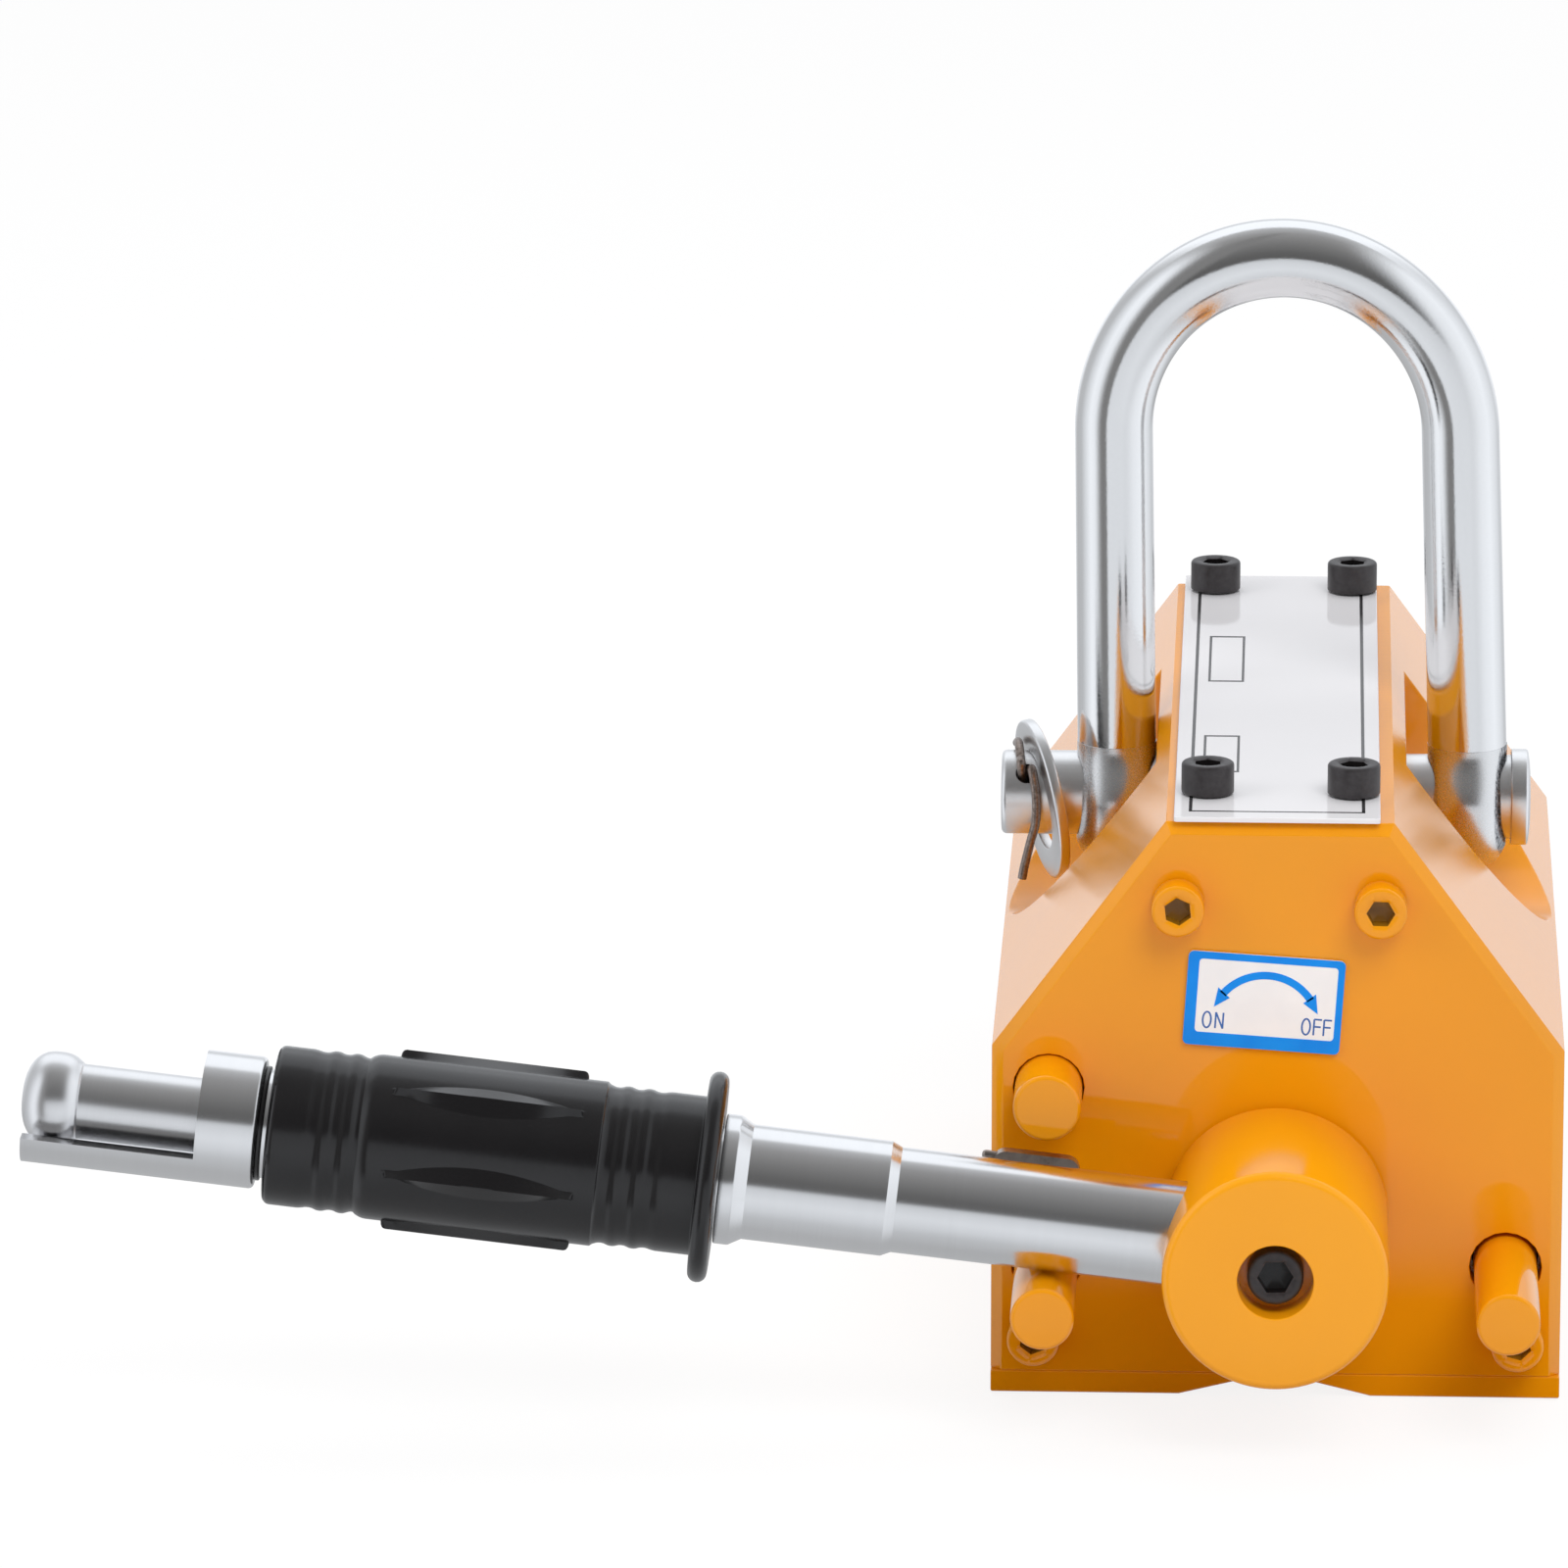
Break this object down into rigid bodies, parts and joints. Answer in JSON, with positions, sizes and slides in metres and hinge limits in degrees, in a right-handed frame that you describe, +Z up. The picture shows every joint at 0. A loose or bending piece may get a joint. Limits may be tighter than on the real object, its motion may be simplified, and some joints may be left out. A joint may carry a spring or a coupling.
{
  "type": "permanent lifting magnet",
  "caption": "Hand-switched permanent lifting magnet: grooved steel block with a turning magnet rotor, side lever with rubber grip and release button, and a lifting shackle.",
  "frame": {"origin": "middle of the base plane, between the two pole faces", "axes": "+Z up through the shackle, +Y away from the lever, +X to the right when facing the lever"},
  "size_m": [0.2463, 0.2052, 0.1771],
  "materials": {
    "yellow_paint": "gloss",
    "bright_steel": "turned",
    "zinc_plate": "satin",
    "grey_steel": "machined",
    "black_oxide": "blackened",
    "black_rubber": "satin",
    "brass": "machined",
    "magnet_block": "ground",
    "silver_plate": "satin",
    "white_label": "printed",
    "brown_wire": "dull"
  },
  "bodies": {
    "housing": {"front_bush": "brass", "front_cover": "yellow_paint", "front_cover_screw_1": "yellow_paint", "front_cover_screw_2": "yellow_paint", "front_cover_screw_3": "yellow_paint", "front_cover_screw_4": "yellow_paint", "lock_pin": "yellow_paint", "magnet_body": "yellow_paint", "nameplate": "silver_plate", "nameplate_screw_1": "black_oxide", "nameplate_screw_2": "black_oxide", "nameplate_screw_3": "black_oxide", "nameplate_screw_4": "black_oxide", "on_off_label": "white_label", "pole_strip": "brass", "rear_bush": "brass", "rear_cover": "yellow_paint", "rear_cover_screw_1": "yellow_paint", "rear_cover_screw_2": "yellow_paint", "rear_cover_screw_3": "yellow_paint", "rear_cover_screw_4": "yellow_paint", "shackle_pin": "zinc_plate", "shaft_seal": "black_rubber", "split_pin": "brown_wire", "stop_pin_left": "yellow_paint", "stop_pin_right": "yellow_paint", "upper_magnet_front": "magnet_block", "upper_magnet_rear": "magnet_block", "washer": "zinc_plate"},
    "rotor": {"drive_key": "bright_steel", "end_guard": "bright_steel", "front_flange_screw_left": "black_oxide", "front_flange_screw_right": "black_oxide", "handle_bar": "bright_steel", "handle_hub": "yellow_paint", "hub_screw": "black_oxide", "rear_flange_screw_left": "black_oxide", "rear_flange_screw_right": "black_oxide", "return_spring": "bright_steel", "rotor_front_flange": "bright_steel", "rotor_magnet_front": "magnet_block", "rotor_magnet_rear": "magnet_block", "rotor_pole_left": "grey_steel", "rotor_pole_right": "grey_steel", "rotor_rear_flange": "bright_steel", "rubber_grip": "black_rubber"},
    "release": {"release_button": "zinc_plate", "release_rod": "bright_steel", "latch_plate": "grey_steel", "latch_pin": "bright_steel"},
    "shackle": {"shackle": "zinc_plate"}
  },
  "joints": [
    {"name": "lever_turn", "type": "hinge", "parent": "housing", "child": "rotor", "pos_m": [0, -0.081, 0.0308], "axis": [0, 1, 0], "range_deg": [0, 163.5]},
    {"name": "button_press", "type": "slide", "parent": "rotor", "child": "release", "axis": [0.9937, 0, -0.1125], "range_m": [0, 0.005], "stiffness_N_per_m": 600, "springref_m": -0.006, "deforming": ["return_spring"]},
    {"name": "shackle_swing", "type": "hinge", "parent": "housing", "child": "shackle", "pos_m": [0, 0, 0.0791], "axis": [1, 0, 0], "range_deg": [-50, 50]}
  ]
}
